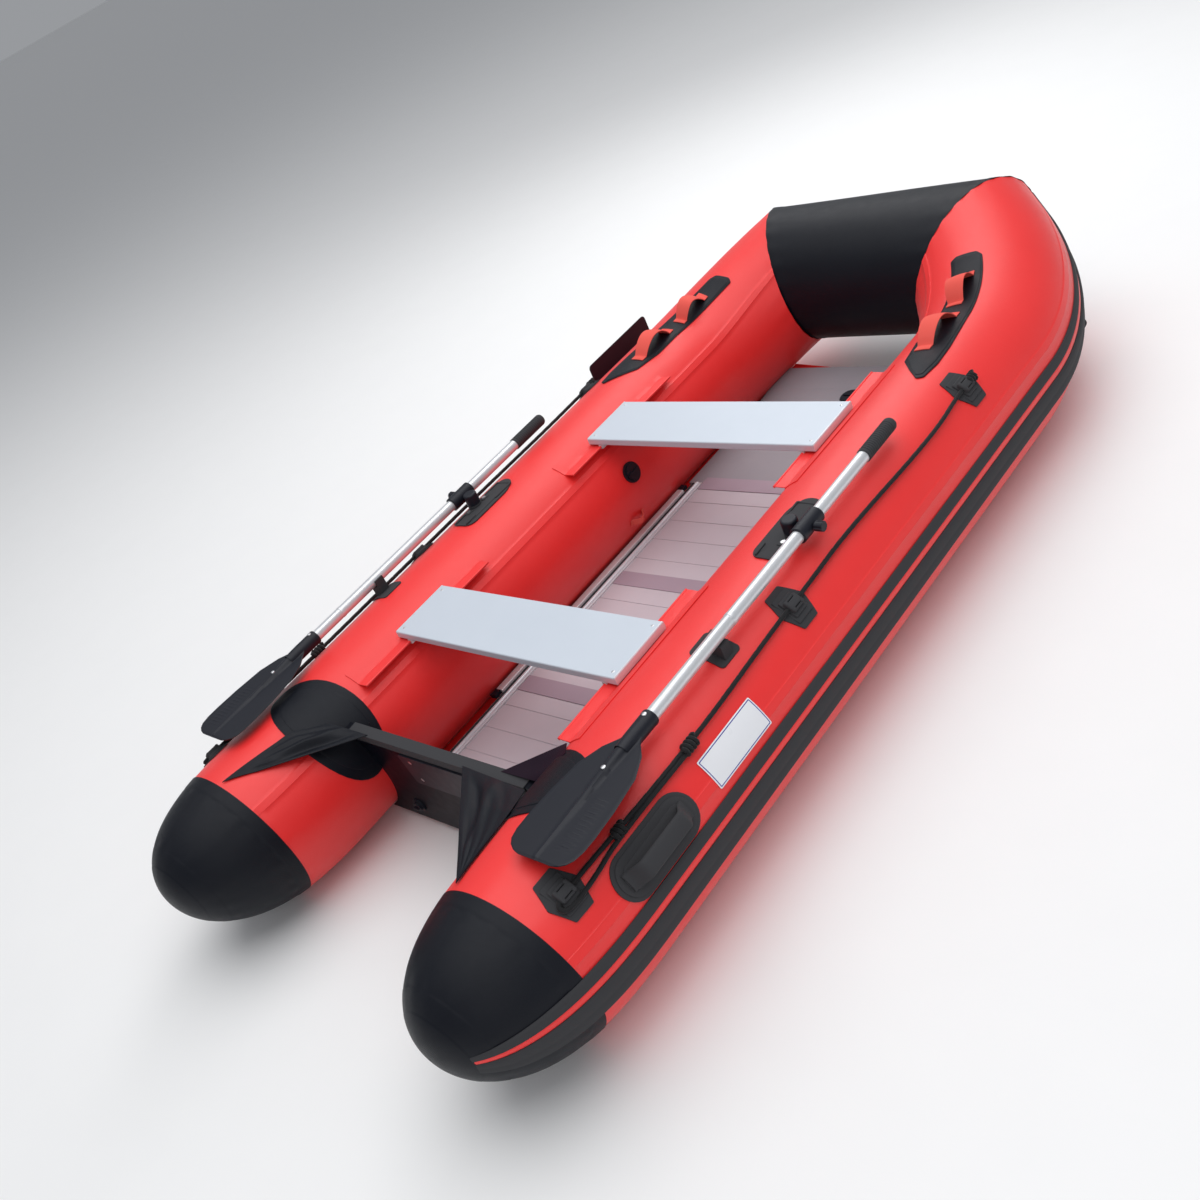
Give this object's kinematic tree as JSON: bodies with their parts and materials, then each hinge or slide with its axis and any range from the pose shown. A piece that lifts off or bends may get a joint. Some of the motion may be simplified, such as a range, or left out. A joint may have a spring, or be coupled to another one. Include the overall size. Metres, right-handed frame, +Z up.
{
  "type": "inflatable dinghy",
  "caption": "Inflatable dinghy with side buoyancy tubes, hard floor, wooden transom, sliding benches, swivelling oars, grab ropes, carrying handles and air valves.",
  "frame": {"origin": "on the ground under the middle of the boat's overall length and beam, where the tubes rest", "axes": "+Y to the bow, +X to starboard, +Z up"},
  "size_m": [1.5178, 3.0999, 0.5648],
  "materials": {
    "red_fabric": "coated PVC fabric, satin",
    "black_fabric": "coated PVC fabric, satin",
    "black_rubber": "moulded, matte",
    "black_plastic": "moulded, fine grain",
    "floor_metal": "anodised extrusion",
    "bench_metal": "brushed anodised",
    "rail_metal": "bright extrusion",
    "shaft_metal": "satin tube",
    "steel": "stainless",
    "painted_wood": "marine plywood, painted black",
    "bow_wood": "marine plywood, painted grey",
    "rope": "braided polyester",
    "red_webbing": "woven webbing",
    "panel_white": "flexible label, blank"
  },
  "bodies": {
    "hull": {"bench_webs": "red_fabric", "bottom_sheet": "red_fabric", "bow_handle_patches": "black_fabric", "bow_handle_straps": "red_webbing", "bow_tube": "black_fabric", "chamber_baffles": "red_fabric", "drain_valve": "black_plastic", "floor_board_bow": "bow_wood", "floor_boards": "floor_metal", "floor_joiners": "floor_metal", "floor_stringers": "rail_metal", "grab_rope_port": "rope", "grab_rope_starboard": "rope", "keel_tube": "red_fabric", "motor_pad_screws": "steel", "motor_pads": "black_plastic", "name_panels": "panel_white", "number_plate": "black_plastic", "oar_clips": "black_rubber", "oarlock_bases": "black_rubber", "oarlock_bolts": "steel", "rope_patches": "black_rubber", "rub_strakes_lower": "black_rubber", "rub_strakes_upper": "black_rubber", "stern_cone_port": "black_fabric", "stern_cone_starboard": "black_fabric", "stern_handles": "black_rubber", "stringer_end_caps": "black_plastic", "tow_eyes": "black_rubber", "transom_board": "painted_wood", "transom_boots": "black_fabric", "transom_cap": "black_rubber", "transom_gussets": "black_fabric", "tube_port": "red_fabric", "tube_starboard": "red_fabric", "valve_bodies": "black_plastic"},
    "bench_aft": {"bench_aft": "bench_metal", "bench_rails_aft": "rail_metal"},
    "bench_front": {"bench_front": "bench_metal", "bench_rails_front": "rail_metal"},
    "drain_plug": {"drain_plug": "black_plastic"},
    "valve_cap_floor": {"valve_cap_floor": "black_plastic"},
    "rowlock_starboard": {"rowlock_starboard": "black_plastic"},
    "oar_starboard": {"oar_collar_starboard": "black_plastic", "oar_shaft_starboard": "shaft_metal", "oar_blade_starboard": "black_plastic", "oar_grip_starboard": "black_rubber"},
    "oar_button_starboard": {"oar_button_starboard": "steel"},
    "rowlock_knob_starboard": {"rowlock_knob_starboard": "black_plastic"},
    "valve_cap_starboard": {"valve_cap_starboard": "black_plastic"},
    "valve_stem_starboard": {"valve_stem_starboard": "black_plastic"},
    "rowlock_port": {"rowlock_port": "black_plastic"},
    "oar_port": {"oar_collar_port": "black_plastic", "oar_shaft_port": "shaft_metal", "oar_blade_port": "black_plastic", "oar_grip_port": "black_rubber"},
    "oar_button_port": {"oar_button_port": "steel"},
    "rowlock_knob_port": {"rowlock_knob_port": "black_plastic"},
    "valve_cap_port": {"valve_cap_port": "black_plastic"},
    "valve_stem_port": {"valve_stem_port": "black_plastic"}
  },
  "joints": [
    {"name": "bench_aft_slide", "type": "slide", "parent": "hull", "child": "bench_aft", "axis": [0, 1, 0], "range_m": [-0.165, 0.125]},
    {"name": "bench_front_slide", "type": "slide", "parent": "hull", "child": "bench_front", "axis": [0, 1, 0], "range_m": [-0.125, 0.165]},
    {"name": "drain_plug_turn", "type": "hinge", "parent": "hull", "child": "drain_plug", "pos_m": [-0.25, -0.94914, 0.08792], "axis": [0, -0.9986, -0.0523], "continuous": true},
    {"name": "floor_valve_cap_turn", "type": "hinge", "parent": "hull", "child": "valve_cap_floor", "pos_m": [0, 0.9585, 0.0856], "axis": [0, -0.1355, 0.9908], "continuous": true},
    {"name": "rowlock_sweep_starboard", "type": "hinge", "parent": "hull", "child": "rowlock_starboard", "pos_m": [0.57, -0.13, 0.45], "axis": [0, 0, 1], "range_deg": [0, 110]},
    {"name": "oar_dip_starboard", "type": "hinge", "parent": "rowlock_starboard", "child": "oar_starboard", "pos_m": [0.618, -0.13, 0.47], "axis": [1, 0, 0], "range_deg": [-4, 0]},
    {"name": "oar_button_press_starboard", "type": "slide", "parent": "oar_starboard", "child": "oar_button_starboard", "axis": [0, 0, -1], "range_m": [0, 0.003], "stiffness_N_per_m": 600},
    {"name": "rowlock_knob_turn_starboard", "type": "hinge", "parent": "rowlock_starboard", "child": "rowlock_knob_starboard", "pos_m": [0.65, -0.13, 0.47], "axis": [1, 0, 0], "continuous": true},
    {"name": "valve_cap_turn_starboard", "type": "hinge", "parent": "hull", "child": "valve_cap_starboard", "pos_m": [0.31833, 0.265, 0.28441], "axis": [-0.9563, 0, 0.2924], "continuous": true},
    {"name": "valve_stem_press_starboard", "type": "slide", "parent": "hull", "child": "valve_stem_starboard", "axis": [0.9563, 0, -0.2924], "range_m": [0, 0.004], "stiffness_N_per_m": 500},
    {"name": "rowlock_sweep_port", "type": "hinge", "parent": "hull", "child": "rowlock_port", "pos_m": [-0.57, -0.13, 0.45], "axis": [0, 0, -1], "range_deg": [0, 110]},
    {"name": "oar_dip_port", "type": "hinge", "parent": "rowlock_port", "child": "oar_port", "pos_m": [-0.618, -0.13, 0.47], "axis": [1, 0, 0], "range_deg": [-4, 0]},
    {"name": "oar_button_press_port", "type": "slide", "parent": "oar_port", "child": "oar_button_port", "axis": [0, 0, -1], "range_m": [0, 0.003], "stiffness_N_per_m": 600},
    {"name": "rowlock_knob_turn_port", "type": "hinge", "parent": "rowlock_port", "child": "rowlock_knob_port", "pos_m": [-0.65, -0.13, 0.47], "axis": [-1, 0, 0], "continuous": true},
    {"name": "valve_cap_turn_port", "type": "hinge", "parent": "hull", "child": "valve_cap_port", "pos_m": [-0.31833, 0.265, 0.28441], "axis": [0.9563, 0, 0.2924], "continuous": true},
    {"name": "valve_stem_press_port", "type": "slide", "parent": "hull", "child": "valve_stem_port", "axis": [-0.9563, 0, -0.2924], "range_m": [0, 0.004], "stiffness_N_per_m": 500}
  ]
}
